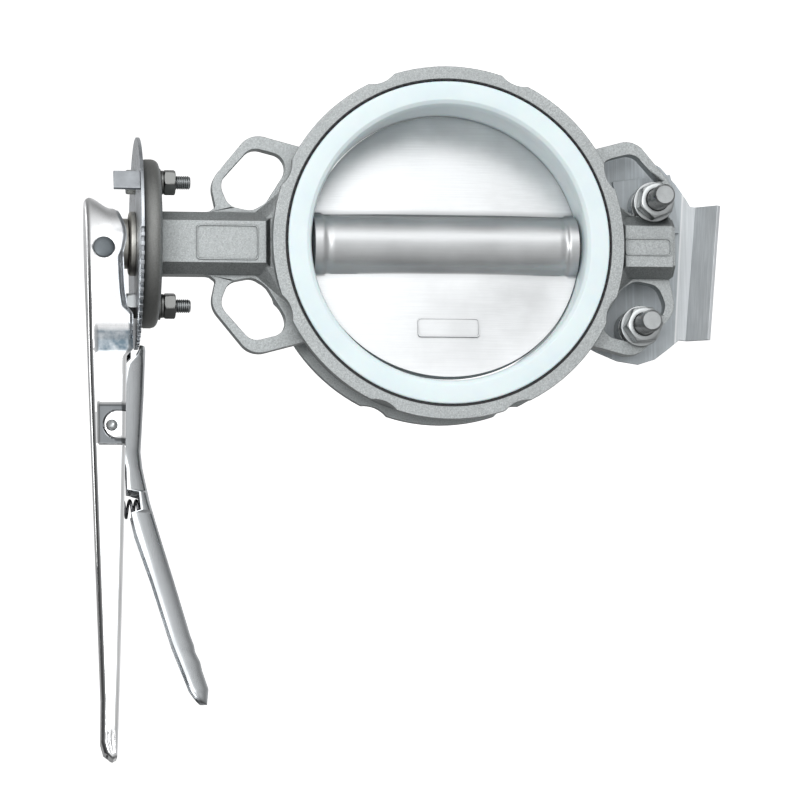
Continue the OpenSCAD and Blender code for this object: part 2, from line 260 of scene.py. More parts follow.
def bevel_away_from(obj, width, places, clear, angle=28):
    """Breaks the sharp edges, leaving alone those within clear of the given (x, z) places."""
    bm = bmesh.new()
    bm.from_mesh(obj.data)
    weight = bm.edges.layers.float.new("bevel_weight_edge")
    for edge in bm.edges:
        sharp = edge.calc_face_angle(0.0) > math.radians(angle)
        spots = [(v.co.x / MM, v.co.z / MM) for v in edge.verts]
        near = any(math.dist(spot, place) < clear for spot in spots for place in places)
        edge[weight] = 1.0 if sharp and not near else 0.0
    bm.to_mesh(obj.data)
    bm.free()
    step = obj.modifiers.new("edges", "BEVEL")
    step.width, step.segments = width * MM, 3
    step.limit_method, step.use_clamp_overlap = "WEIGHT", False
    settle(obj)


def finish_piece(obj, body, material, nodes, sharp=35):
    """Shading, material, body and the CAD nodes that a piece stands for."""
    obj.data.shade_smooth()
    obj.data.set_sharp_from_angle(angle=math.radians(sharp))
    obj.data.materials.clear()
    obj.data.materials.append(material)
    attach(obj, body)
    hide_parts(*nodes)
    return obj


def piece(name, shape, body, material, nodes, sharp=35):
    """A finished piece made from a shape in millimetres."""
    obj = link(name, new_mesh(name, shape))
    return finish_piece(obj, body, material, nodes, sharp)


def even_faces(obj):
    """Lets the large flat faces set the shading, so that broken edges read as crisp."""
    step = obj.modifiers.new("even", "WEIGHTED_NORMAL")
    step.keep_sharp = True


def cad_copy(name, node, weld=0.002):
    """A new object with a CAD node's shape, welded, with its flat faces made whole."""
    mesh = frame["nodes"][node].data.copy()
    bm = bmesh.new()
    bm.from_mesh(mesh)
    bmesh.ops.remove_doubles(bm, verts=bm.verts, dist=weld * MM)
    flat = math.radians(0.6)
    bmesh.ops.dissolve_limit(bm, angle_limit=flat, verts=bm.verts, edges=bm.edges)
    bmesh.ops.triangulate(bm, faces=[f for f in bm.faces if len(f.verts) > 4])
    bm.to_mesh(mesh)
    bm.free()
    return link(name, mesh)


# --------------------------------------------------------------------------------- materials


def math_node(tree, kind, a, b):
    """Adds arithmetic on two outputs or numbers to a node tree."""
    node = tree.nodes.new("ShaderNodeMath")
    node.operation = kind
    for socket, value in zip(node.inputs, (a, b)):
        if isinstance(value, (int, float)):
            socket.default_value = value
        else:
            tree.links.new(value, socket)
    return node.outputs["Value"]


def range_node(tree, source, before, after, kind):
    """Adds a step to a node tree that moves a value from one range to another."""
    node = tree.nodes.new("ShaderNodeMapRange")
    node.interpolation_type = kind
    for key, value in zip(("From Min", "From Max", "To Min", "To Max"), (*before, *after)):
        node.inputs[key].default_value = value
    tree.links.new(source, node.inputs["Value"])
    return node.outputs["Result"]


class Nodes:
    """Short ways to add shader nodes to one material."""

    def __init__(self, name, colour, metallic, roughness):
        self.material = bpy.data.materials.new(name)
        self.material.use_nodes = True
        self.tree = self.material.node_tree
        self.shader = self.tree.nodes["Principled BSDF"]
        self.shader.inputs["Base Color"].default_value = (*colour, 1)
        self.shader.inputs["Metallic"].default_value = metallic
        self.shader.inputs["Roughness"].default_value = roughness
        self.place = self.tree.nodes.new("ShaderNodeTexCoord").outputs["Object"]

    def join(self, source, target):
        """Links an output to an input."""
        self.tree.links.new(source, target)

    def noise(self, size, detail=3.0, stretch=(1, 1, 1), rough=0.5, turn=0.0):
        """Noise with features about size millimetres across, longer where stretch is bigger."""
        mapping = self.tree.nodes.new("ShaderNodeMapping")
        mapping.inputs["Rotation"].default_value = (0, 0, turn)
        mapping.inputs["Scale"].default_value = [1 / (size * MM * s) for s in stretch]
        if turn:  # a texture mapping turns before it scales, so the stretch follows the turn
            mapping.vector_type = "TEXTURE"
            mapping.inputs["Scale"].default_value = [size * MM * s for s in stretch]
        self.join(self.place, mapping.inputs["Vector"])
        node = self.tree.nodes.new("ShaderNodeTexNoise")
        node.inputs["Scale"].default_value = 1.0
        node.inputs["Detail"].default_value = detail
        node.inputs["Roughness"].default_value = rough
        self.join(mapping.outputs["Vector"], node.inputs["Vector"])
        return node.outputs["Fac"]

    def axis(self, name, turn=None):
        """One coordinate in metres; with a turn, first rotated back about z by it."""
        source = self.place
        if turn is not None:
            mapping = self.tree.nodes.new("ShaderNodeMapping")
            mapping.inputs["Rotation"].default_value = (0, 0, -turn)
            self.join(source, mapping.inputs["Vector"])
            source = mapping.outputs["Vector"]
        split = self.tree.nodes.new("ShaderNodeSeparateXYZ")
        self.join(source, split.inputs["Vector"])
        return split.outputs[name]

    def inside(self, source, lo, hi, soft):
        """1 between lo and hi millimetres and 0 outside, over a soft edge."""
        rise = self.ranged(source, (lo - soft) * MM, (lo + soft) * MM, 0, 1)
        fall = self.ranged(source, (hi - soft) * MM, (hi + soft) * MM, 1, 0)
        return self.math("MULTIPLY", rise, fall)

    def ranged(self, source, lo, hi, to_lo, to_hi):
        """A value moved in a straight line from one range to another and kept inside it."""
        return range_node(self.tree, source, (lo, hi), (to_lo, to_hi), "LINEAR")

    def math(self, kind, a, b=0.0):
        """Arithmetic on two outputs or numbers."""
        return math_node(self.tree, kind, a, b)

    def mix(self, share, a, b):
        """Colour a where share is 0 and b where it is 1."""
        node = self.tree.nodes.new("ShaderNodeMix")
        node.data_type = "RGBA"
        self.join(share, node.inputs["Factor"])
        for socket, value in ((node.inputs[6], a), (node.inputs[7], b)):
            if isinstance(value, tuple):
                socket.default_value = (*value, 1)
            else:
                self.join(value, socket)
        return node.outputs[2]

    def painted_corner_shade(self, reach):
        """Ambient occlusion for painted shade: 1 in the open and towards 0 in corners, looking reach
        millimetres around.
        """
        node = self.tree.nodes.new("ShaderNodeAmbientOcclusion")
        node.samples = 8
        node.inputs["Distance"].default_value = reach * MM
        return node.outputs["AO"]

    def bump(self, height, strength, depth):
        """Raises the surface by up to depth millimetres where height is 1."""
        node = self.tree.nodes.new("ShaderNodeBump")
        node.inputs["Strength"].default_value = strength
        node.inputs["Distance"].default_value = depth * MM
        self.join(height, node.inputs["Height"])
        self.join(node.outputs["Normal"], self.shader.inputs["Normal"])


def shade(colour, factor):
    """A darker or lighter version of a colour."""
    return tuple(c * factor for c in colour)


def blasted_steel():
    """Bead-blasted cast stainless steel: sparkling grain, painted shade in its corners, pale high spots.
    """
    base = (0.43, 0.455, 0.46)
    m = Nodes("blasted_steel", base, 1.0, 0.46)
    grain = m.noise(1.1, 4, rough=0.65)
    speck = m.noise(0.55, 2)
    patch = m.noise(26, 3)
    tone = m.ranged(grain, 0.36, 0.64, 0.0, 1.0)
    colour = m.mix(tone, shade(base, 0.74), shade(base, 1.22))
    colour = m.mix(m.ranged(patch, 0.35, 0.7, 0.0, 0.35), colour, shade(base, 0.86))
    colour = m.mix(m.ranged(speck, 0.62, 0.72, 0.0, 0.5), colour, (0.85, 0.84, 0.8))
    # painted shade: the cast steel goes near black in corners and recesses
    colour = m.mix(m.ranged(m.painted_corner_shade(9), 0.35, 0.95, 0.6, 0.0), colour, (0.10, 0.107, 0.106))
    flange = m.ranged(m.axis("Z"), (BODY_TOP - 13.5) * MM, (BODY_TOP - 11) * MM, 0.0, 0.7)
    colour = m.mix(flange, colour, (0.19, 0.187, 0.175))  # the top flange is darker
    m.join(colour, m.shader.inputs["Base Color"])
    m.join(m.ranged(grain, 0.3, 0.7, 0.42, 0.6), m.shader.inputs["Roughness"])
    m.bump(m.math("ADD", grain, m.math("MULTIPLY", speck, 0.5)), 0.55, 0.35)
    return m.material


def rubber():
    """Black rubber with a faint grain."""
    m = Nodes("black_rubber", (0.012, 0.012, 0.014), 0.0, 0.55)
    grain = m.noise(1.5, 3)
    colour = m.mix(m.ranged(grain, 0.3, 0.7, 0, 1), (0.008, 0.008, 0.01), (0.022, 0.022, 0.025))
    m.join(colour, m.shader.inputs["Base Color"])
    m.bump(grain, 0.2, 0.1)
    return m.material


def fluoropolymer():
    """Smooth white liner, slightly blue, with faint turning marks, soft handling smudges and painted shade
    in its corners.
    """
    m = Nodes("white_liner", (0.82, 0.93, 0.955), 0.0, 0.34)
    smudge = m.noise(38, 4)
    fine = m.noise(2.2, 2)
    colour = m.mix(m.ranged(smudge, 0.4, 0.75, 0, 1), (0.83, 0.94, 0.96), (0.76, 0.88, 0.92))
    # painted shade: the liner darker and bluer in corners and recesses
    colour = m.mix(m.ranged(m.painted_corner_shade(10), 0.3, 0.95, 0.3, 0), colour, (0.55, 0.66, 0.72))
    m.join(colour, m.shader.inputs["Base Color"])
    m.join(m.ranged(fine, 0.3, 0.7, 0.3, 0.42), m.shader.inputs["Roughness"])
    m.shader.inputs["Subsurface Weight"].default_value = 0.15
    m.shader.inputs["Subsurface Scale"].default_value = 0.004
    m.bump(m.math("ADD", fine, smudge), 0.12, 0.12)
    return m.material


def satin_disc():
    """Satin ground disc steel with long soft clouds and fine lay, with painted shade in its corners and
    across the hub.
    """
    base = (0.61, 0.625, 0.635)
    m = Nodes("satin_disc", base, 0.8, 0.32)
    cloud = m.noise(30, 4)
    grain = m.noise(0.9, 3, rough=0.6)
    lay = m.noise(1.0, 2, stretch=(0.7, 0.7, 40))
    colour = m.mix(m.ranged(cloud, 0.3, 0.7, 0, 1), shade(base, 0.9), shade(base, 1.1))
    colour = m.mix(m.ranged(lay, 0.35, 0.65, 0, 0.25), colour, shade(base, 0.78))
    # painted shade: the disc darker in corners and recesses
    colour = m.mix(m.ranged(m.painted_corner_shade(5), 0.3, 0.95, 0.45, 0), colour, shade(base, 0.3))
    # painted shade across the hub, darkest in a band along its edge on one side
    across = m.axis("X", LEVER_ANGLE)
    hub = m.math("MULTIPLY", m.inside(across, -25, 25, 2), 0.3)
    painted_hub_edge_shade = m.math("MULTIPLY", m.inside(across, -24, -18, 2.5), 0.65)
    colour = m.mix(hub, colour, shade(base, 0.6))
    colour = m.mix(painted_hub_edge_shade, colour, shade(base, 0.3))
    m.join(colour, m.shader.inputs["Base Color"])
    m.join(m.ranged(cloud, 0.3, 0.7, 0.3, 0.42), m.shader.inputs["Roughness"])
    m.bump(m.math("ADD", grain, lay), 0.12, 0.12)
    return m.material


def machined(name, base, rough=0.32, painted_shade_level=0.35, reach=4):
    """Turned or pressed stainless hardware with fine scratches and painted shade in its corners."""
    m = Nodes(name, base, 1.0, rough)
    grain = m.noise(0.8, 3, rough=0.6)
    patch = m.noise(9, 3)
    colour = m.mix(m.ranged(patch, 0.3, 0.7, 0, 1), shade(base, 0.84), shade(base, 1.12))
    colour = m.mix(m.ranged(grain, 0.6, 0.75, 0, 0.5), colour, shade(base, 0.6))
    # painted shade: darker in corners and recesses
    colour = m.mix(m.ranged(m.painted_corner_shade(reach), 0.25, 0.9, 0.8, 0), colour, shade(base, painted_shade_level))
    m.join(colour, m.shader.inputs["Base Color"])
    m.join(m.ranged(patch, 0.3, 0.7, rough - 0.06, rough + 0.1), m.shader.inputs["Roughness"])
    m.bump(m.math("ADD", grain, patch), 0.16, 0.15)
    return m.material


def lever_dark_pad_and_pocket_shade(m, colour):
    """Darkens the pressed pad behind the head, and paints shade into the pocket round the latch pin."""
    below, edge = 200, 1.4
    run, height = m.axis("X", LEVER_ANGLE), m.axis("Z", LEVER_ANGLE)
    wall = m.ranged(m.math("ABSOLUTE", m.axis("Y", LEVER_ANGLE)), 9.0 * MM, 9.5 * MM, 0, 1)
    pad = m.math("MULTIPLY", m.inside(run, PAD_LO, PAD_HI, 1.6), m.inside(height, below, 253, 2.0))
    cloud = m.ranged(m.noise(7, 4), 0.3, 0.65, 0.55, 1.0)
    pad = m.math("MULTIPLY", m.math("MULTIPLY", pad, cloud), wall)
    colour = m.mix(pad, colour, (0.10, 0.138, 0.168))
    # painted shade in the pocket round the latch pin, left off the round tab
    along_pocket = m.inside(run, POCKET_LO + edge, POCKET_HI - edge, 0.9)
    up_pocket = m.inside(height, below, POCKET_TOP - edge, 0.9)
    from_run = m.math("SUBTRACT", run, TAB_RUN * MM)
    from_z = m.math("MAXIMUM", m.math("SUBTRACT", height, TAB_Z * MM), 0)
    squares = m.math("ADD", m.math("POWER", from_run, 2.0), m.math("POWER", from_z, 2.0))
    off_tab = m.ranged(m.math("SQRT", squares), (TAB_R - 0.1) * MM, (TAB_R + 0.9) * MM, 0, 1)
    pocket = m.math("MULTIPLY", m.math("MULTIPLY", along_pocket, up_pocket), off_tab)
    pocket = m.math("MULTIPLY", m.math("MULTIPLY", pocket, wall), 0.92)
    return m.mix(pocket, colour, (0.045, 0.052, 0.058))


def polished_sheet(name, base, rough=0.1, marks=False):
    """Polished pressed sheet with hairline scratches along it and painted shade in its corners; marks adds
    the lever's darker pad and painted shade in its pocket.
    """
    m = Nodes(name, base, 1.0, rough)
    hair = m.noise(0.7, 3, stretch=(60, 1, 1), turn=LEVER_ANGLE)
    ripple = m.noise(22, 2)
    smear = m.noise(14, 4, stretch=(3, 1, 1), turn=LEVER_ANGLE)
    colour = m.mix(m.ranged(smear, 0.35, 0.7, 0, 1), shade(base, 1.04), shade(base, 0.86))
    colour = m.mix(m.ranged(hair, 0.6, 0.72, 0, 0.35), colour, shade(base, 0.6))
    # painted shade: much darker in corners and recesses
    colour = m.mix(m.ranged(m.painted_corner_shade(7), 0.2, 0.8, 0.85, 0), colour, shade(base, 0.12))
    dull = m.ranged(smear, 0.35, 0.7, rough * 0.7, rough * 2.0)
    if marks:
        colour = lever_dark_pad_and_pocket_shade(m, colour)
        head = m.ranged(m.axis("X", LEVER_ANGLE), 12 * MM, 55 * MM, 0.26, 0.0)
        dull = m.math("ADD", dull, head)
    m.join(colour, m.shader.inputs["Base Color"])
    m.join(dull, m.shader.inputs["Roughness"])
    m.bump(m.math("ADD", m.math("MULTIPLY", hair, 0.03), ripple), 0.35, 0.5)
    return m.material


def drawn_sheet():
    """Grey rolled sheet with a drawn lay, painted light along its turned-up edge, a painted highlight at
    the bend and painted shade in its corners.
    """
    base = (0.46, 0.50, 0.525)
    m = Nodes("grey_sheet", base, 0.3, 0.42)
    lay = m.noise(1.6, 3, stretch=(40, 1, 1))
    patch = m.noise(16, 3)
    colour = m.mix(m.ranged(patch, 0.3, 0.7, 0, 1), shade(base, 0.88), shade(base, 1.1))
    colour = m.mix(m.ranged(lay, 0.5, 0.72, 0, 0.5), colour, shade(base, 1.5))
    out = m.math("ADD", m.axis("Z"), m.math("MULTIPLY", m.axis("X"), FOLD_SLOPE))
    # painted light: the turned-up lip paler, streaked along the lay
    painted_lip_light = m.ranged(out, (FOLD_Z - 0.8) * MM, FOLD_Z * MM, 0.75, 0.0)
    painted_lip_light = m.math("MULTIPLY", painted_lip_light, m.ranged(lay, 0.3, 0.7, 0.6, 1.0))
    colour = m.mix(painted_lip_light, colour, (0.80, 0.83, 0.85))
    # painted highlight along the fold
    painted_fold_highlight = m.inside(out, FOLD_Z - 0.7, FOLD_Z + 0.5, 0.3)
    colour = m.mix(m.math("MULTIPLY", painted_fold_highlight, 0.7), colour, (0.95, 0.97, 0.98))
    # painted shade: darker in corners and recesses
    colour = m.mix(m.ranged(m.painted_corner_shade(4), 0.25, 0.9, 0.35, 0), colour, shade(base, 0.6))
    m.join(colour, m.shader.inputs["Base Color"])
    m.join(m.ranged(patch, 0.3, 0.7, 0.36, 0.5), m.shader.inputs["Roughness"])
    m.bump(m.math("ADD", lay, patch), 0.16, 0.15)
    return m.material


CAST = blasted_steel()
RUBBER = rubber()
LINER = fluoropolymer()
DISC = satin_disc()
STEM = machined("stem_steel", (0.45, 0.45, 0.44))
PLATE = machined("plate_steel", (0.50, 0.53, 0.56), 0.3, 0.3)
COLLAR = machined("dark_turned_steel", (0.56, 0.55, 0.51), 0.4, 0.35)
BRIGHT = machined("bright_hardware", (0.45, 0.47, 0.475), 0.3, 0.3, 3)
DULL = machined("dull_nuts", (0.22, 0.225, 0.22), 0.34, 0.25, 3)
LATCH_SHEET = polished_sheet("polished_latch", (0.60, 0.625, 0.645), 0.2)
LEVER_SHEET = polished_sheet("polished_lever", (0.84, 0.85, 0.86), marks=True)
# the rivet's near-black colour is a painted dark reflection
RIVET = machined("rivet_painted_dark_reflection", (0.15, 0.168, 0.18), 0.5, 0.4)
WIRE = machined("spring_wire", (0.16, 0.16, 0.17), 0.3, 0.3, 3)
GREY_SHEET = drawn_sheet()


# ----------------------------------------------------------------------------------- casting


FACE_Y = -17.6
NECK_PANEL = {"centre": (-0.5, 158.8), "half": (12.9, 22.5), "top_y": -18.9, "line": 1.5}
BOSS_PANEL = {"centre": (-0.6, -147.5), "half": (6.6, 17.2), "top_y": -18.8, "line": 1.3}


def raised_frame(centre, half, foot_y, top_y, line, corner=3.0):
    """A thin raised rectangle, rounded at its corners, standing from foot_y to top_y on a face."""
    corners = [(a * half[0], b * half[1]) for a, b in ((1, 1), (-1, 1), (-1, -1), (1, -1))]
    section = ((0, foot_y), (0.3, top_y), (0.7, top_y), (1, foot_y))
    rows = []
    for x, z in rounded(corners, corner):
        row = []
        for share, y in section:
            x_in, z_in = x * (1 - share * line / half[0]), z * (1 - share * line / half[1])
            row.append((centre[0] + x_in, y, centre[1] + z_in))
        rows.append(row)
    return grid(rows, True, True)


def casting():
    """The casting with its edges broken, and the blank frames on its neck and boss."""
    body = cad_copy("body_casting", "body", weld=0.06)
    bevel_away_from(body, 0.5, STUDS, SPOT_CLEAR)
    panels = [raised_frame(foot_y=FACE_Y, **panel) for panel in (NECK_PANEL, BOSS_PANEL)]
    piece("body_panels", merge(*panels), VALVE, CAST, [])
    finish_piece(body, VALVE, CAST, ["body"], 40)
    even_faces(body)


# ------------------------------------------------------------------------------ seat and disc


def liner_piece():
    """The white liner: flat lips on both faces, a flared mouth and a straight bore."""
    pocket_y, back_r = 24.0, LINER_R + 6
    mouth = [(LINER_R, 20), (LINER_R + 0.4, 25), (LINER_R + 1.5, 28.6), (LINER_R + 4.2, LINER_Y)]
    side = mouth + [(LIP_R, LINER_Y), (LIP_R, pocket_y), (back_r, pocket_y)]
    profile = [(r, -y) for r, y in reversed(side)] + side
    shape = moved(lathe(rounded(profile, 1.6, 5), 288), on_y())
    piece("liner", shape, VALVE, LINER, ["seat_liner"])


DISC_HALF, DISC_TAPER = 7.0, 2.8
HUB_R, HUB_FLARE, HUB_GROOVE, HUB_BLEND = 22.3, 0.7, 0.6, 3.5
HUB_SLICES = (18.4, 19.3, 20.1, 20.8, 21.4, 22.6, 23.8, 24.6)
DISC_PANEL = {"centre": (-62.5, -0.4), "half": (7.1, 22.5), "foot_y": -5.6, "top_y": -6.6}


def disc_half_thickness(x, z):
    """Half thickness of the disc at (x, z) in its own plane: a thin plate with a round hub."""
    plate = DISC_HALF - DISC_TAPER * smooth_step(math.hypot(x, z), 30, DISC_R)
    away = abs(z)
    groove = smooth_step(away, 83.5, 85.5) * (1 - smooth_step(away, 87.5, 89.5))
    hub_r = HUB_R + HUB_FLARE * smooth_step(away, 87, 90) - HUB_GROOVE * groove
    hub = math.sqrt(max(hub_r**2 - x * x, 0.0)) if abs(x) < hub_r else 0.0
    gap = hub - plate
    if gap <= -HUB_BLEND:
        return plate
    if gap >= HUB_BLEND:
        return hub
    return plate + (gap + HUB_BLEND) ** 2 / (4 * HUB_BLEND)


def disc_ring(x):
    """The disc's section at x: the front face, the top edge, the back face and the low edge."""
    reach = math.sqrt(max(DISC_R**2 - x * x, 0.0))
    z_end = reach
    for _ in range(6):  # settles where the face meets the sphere of the disc's edge
        z_end = math.sqrt(max(reach**2 - disc_half_thickness(x, z_end) ** 2, 0.0))
    y_end = min(disc_half_thickness(x, z_end), reach)
    zs = [z_end * math.sin(t * math.pi / 2) for t in spread(-1, 1, 96)]
    front = [(x, -y_end, -z_end)]
    for z in zs[1:-1]:  # the outermost slices have no length, so no face either
        y = disc_half_thickness(x, z) if z_end else y_end
        front.append((x, -y, z))
    front.append((x, -y_end, z_end))
    top = [(x, y, math.sqrt(max(reach**2 - y * y, 0))) for y in spread(-y_end, y_end, 8)]
    back = [(x, -y, z) for _, y, z in reversed(front)]
    low = [(x, -y, -z) for _, y, z in top]
    return front + top[1:-1] + back + low[1:-1]


def disc_piece():
    """The disc in slices across the stem, closer together beside the hub."""
    slices = [DISC_R * math.sin(t) * 0.9995 for t in spread(-math.pi / 2, math.pi / 2, 150)]
    slices += [side * x for side in (-1, 1) for x in HUB_SLICES]
    rings = [disc_ring(x) for x in sorted(slices)]
    shape = grid([cap(rings[0])] + rings + [cap(rings[-1])], False, True)
    piece("disc_plate", moved(shape, DISC_TURN), TURNING, DISC, ["disc"], 50)
    panel = raised_frame(line=0.9, corner=2.4, **DISC_PANEL)
    piece("disc_panel", moved(panel, DISC_TURN), TURNING, DISC, [])


# ---------------------------------------------------------------------------------- hardware


def screw_thread(r, pitch, z0, z1, segments=40, lead=1.2):
    """A threaded rod along z with chamfered ends."""
    rows_per_turn = 6
    n = max(2, int(abs(z1 - z0) / pitch * rows_per_turn))
    rows = [[(0, 0, z0)] * segments]
    for k in range(n + 1):
        z = z0 + (z1 - z0) * k / n
        row = []
        for i in range(segments):
            a = 2 * math.pi * i / segments
            phase = (z / pitch - a / (2 * math.pi)) % 1.0
            groove = max(0.0, 1 - abs(2 * phase - 1) * 1.35)
            radius = r - 0.55 * pitch * groove
            radius = min(radius, r - lead + (z - z0), r - lead + (z1 - z))
            row.append((radius * math.cos(a), radius * math.sin(a), z))
        rows.append(row)
    rows.append([(0, 0, z1)] * segments)
    return grid(rows, False, True)


def hexagon(flats, height, bore=0.0, low_chamfer=True, start=0.0):
    """A hexagon nut or head from z = 0 to height, its corners turned back by 30 degrees."""
    flat_r = flats / 2 * 0.95
    depth = (flats / math.sqrt(3) - flat_r) / math.sqrt(3) + 0.05
    rim, segments = 0.6, 96
    rows = []
    for i in range(segments):
        a = 2 * math.pi * i / segments
        from_corner = abs((a + math.pi / 6) % (math.pi / 3) - math.pi / 6)
        side = flats / 2 / math.cos(math.pi / 6 - from_corner)
        levels = spread(0, depth, 5)
        turned = [(min(side, flat_r + t * math.sqrt(3)), t) for t in levels]
        low = turned if low_chamfer else [(side, t) for t in levels]
        high = [(r, height - t) for r, t in reversed(turned)]
        if bore:
            hole = [(bore + rim, height), (bore, height - rim), (bore, rim), (bore + rim, 0)]
            profile = low + high + hole
        else:
            profile = [(0, 0)] + low + high + [(0, height)]
        rows.append([(r * math.cos(a + start), r * math.sin(a + start), z) for r, z in profile])
    return grid(rows, True, True)


def washer(inner, outer, thick, soft=0.4):
    """A flat ring from z = 0 up, with rounded edges."""
    profile = [(inner, 0), (outer, 0), (outer, thick), (inner, thick)]
    return lathe(rounded(profile, soft, 3), 72)


def flange_hardware():
    """Two bolts through the top flange, each with a flat washer, a spring washer and a nut."""
    head_z = BOLT_HI.z - BOLT_HEAD
    nut_height = NUT_HI.z - NUT_LO.z
    hole = BOLT_R + 0.25
    flat, flat_r = 2, 10
    spring, spring_r, spring_drop = 2.1, 8.6, 4.2
    bolts, nuts, washers = [], [], []
    for x in (-BOLT_X, BOLT_X):
        head = hexagon(BOLT_FLATS, BOLT_HEAD, low_chamfer=False, start=0.3)
        bolts.append(moved(head, at(x, 0, head_z)))
        bolts.append(moved(screw_thread(BOLT_R, BOLT_PITCH, BOLT_LO.z, head_z + 1), at(x, 0, 0)))
        nut = hexagon(BOLT_FLATS, nut_height, BOLT_R + CLEARANCE, start=0.25)
        nuts.append(moved(nut, at(x, 0, NUT_LO.z)))
        washers.append(moved(washer(hole, flat_r, flat), at(x, 0, WASHER_TOP - flat)))
        ring = washer(hole, spring_r, spring, 0.5)
        washers.append(moved(ring, at(x, 0, WASHER_TOP - spring_drop)))
    piece("flange_bolt_pair", merge(*bolts), VALVE, BRIGHT, ["flange_bolts"])
    piece("flange_nut_pair", merge(*nuts), VALVE, DULL, ["flange_nuts"])
    piece("flange_washer_pair", merge(*washers), VALVE, DULL, ["flange_washers"])


def foot_hardware():
    """Two studs through the lower ears and the foot, with a nut and a washer on each side."""
    thick, washer_r = 3, 15
    studs, nuts, washers = [], [], []
    for i, (x, z) in enumerate(STUDS):
        stud = screw_thread(STUD_R, STUD_PITCH, STUD_LO.y, STUD_HI.y, 48, 1.6)
        studs.append(moved(stud, on_y(x, 0, z)))
        front_nut = (-EAR_Y - thick - STUD_NUT, 0.15 + 0.3 * i)
        back_nut = (FOOT_BACK + thick, 0.5)
        for y, start in (front_nut, back_nut):
            nut = hexagon(STUD_FLATS, STUD_NUT, STUD_R + CLEARANCE, start=start)
            nuts.append(moved(nut, on_y(x, y, z)))
        for y in (-EAR_Y - thick, FOOT_BACK):
            washers.append(moved(washer(STUD_R + 0.5, washer_r, thick, 0.8), on_y(x, y, z)))
    piece("foot_stud_pair", merge(*studs), VALVE, BRIGHT, ["foot_studs"])
    piece("foot_nut_set", merge(*nuts), VALVE, BRIGHT, ["foot_nuts"])
    piece("foot_washer_set", merge(*washers), VALVE, BRIGHT, ["foot_washers"])


# ----------------------------------------------------------------------------- lever and latch

LEVER_END, HANDLE_START = 372.5, 14
HEAD_R, TIP_HALF, SPINE_R = 25, 11, 4.5
LEVER_SPINE = [(-34, 260.1), (98, 257.4), (330, 250.9), (LEVER_END, 251.6)]
LEVER_LOW = [
    (-26, 239), (-24, 237), (-20, 235.6), (-15, 234.2), (-10, 232.6), (-4.5, 231.2), (1, 230.6),
    (6, 231.4), (14, 233.2), (30, 232.6), (43, 231.6), (52, 230.2), (57, 226.6), (82, 226.6),
    (87, 231.2), (150, 232.5), (220, 234.6), (305, 237.6), (359, 239.8), (LEVER_END, 240.5),
]
LEVER_WIDE = [(HANDLE_START, HEAD_R), (45, 19.5), (75, 14.8), (100, 13), (LEVER_END, TIP_HALF)]
CROWN = ((HANDLE_START, HEAD_R), (-9, 24.5), (-33.8, 15), (-33.8, 0))
RIB_ZS = (243.5, 247.2)


def lever_top(run):
    """Height of the lever's spine, which drops over its last stretch."""
    if run > LEVER_END - 9:
        return 251.6 - 5.2 * smooth_step(run, LEVER_END - 9, LEVER_END + 1)
    return along(LEVER_SPINE, run)


def lever_outline():
    """Low and high plan points from the middle of the grip end to the middle of the head."""
    corner = [(LEVER_END, 0), (LEVER_END, TIP_HALF), (LEVER_END - 12, TIP_HALF + 0.1)]
    end = rounded(corner, 4.5, 8, False)
    side = [(run, along(LEVER_WIDE, run)) for run in spread(end[-1][0], HANDLE_START, 300)]
    low = end[:-1] + side
    high = list(low)
    straight = 0.18  # share of the head's low edge that runs straight before it turns
    for t in spread(0, 1, 56)[1:]:
        if t < straight:
            low.append((HANDLE_START * (1 - t / straight), HEAD_R))
        else:
            a = math.pi / 2 * (t - straight) / (1 - straight)
            low.append((-HEAD_R * math.sin(a), HEAD_R * math.cos(a)))
        u = 1 - t
        weights = (u**3, 3 * u * u * t, 3 * u * t * t, t**3)
        high.append(tuple(sum(w * q[i] for w, q in zip(weights, CROWN)) for i in (0, 1)))
    return low, high


def plan_normal(points, i):
    """Outward direction in plan at a point of half an outline that starts and ends at wide = 0."""
    if i == 0:
        return (1.0, 0.0)
    if i == len(points) - 1:
        return (-1.0, 0.0)
    run, wide = (points[i + 1][k] - points[i - 1][k] for k in (0, 1))
    size = math.hypot(run, wide)
    return (wide / size, -run / size)


def pressed(run, z):
    """How far the lever's wall is pressed in: the rivet's dish, the pad, the pocket, the grip ribs."""
    dish = 1 - smooth_step(math.hypot(run - RIVET_RUN, z - RIVET_Z), 6.6, 9.4)
    pad = smooth_step(run, PAD_LO - 4, PAD_LO) * (1 - smooth_step(run, PAD_HI, PAD_HI + 4))
    pad *= 1 - smooth_step(z, 251, 255)
    off_tab = math.hypot(run - TAB_RUN, max(z - TAB_Z, 0.0)) - TAB_R
    pocket = smooth_step(min(run - POCKET_LO, POCKET_HI - run), 0, 2.2)
    pocket *= smooth_step(POCKET_TOP - z, 0, 2.2) * smooth_step(off_tab, 0, 1.4)
    ribs = sum(1 - smooth_step(abs(z - rib_z), 0.6, 1.7) for rib_z in RIB_ZS)
    ribs *= smooth_step(run, 352, 356) * (1 - smooth_step(run, 367, 370))
    return 0.8 * (dish + pad + ribs) + 1.3 * pocket


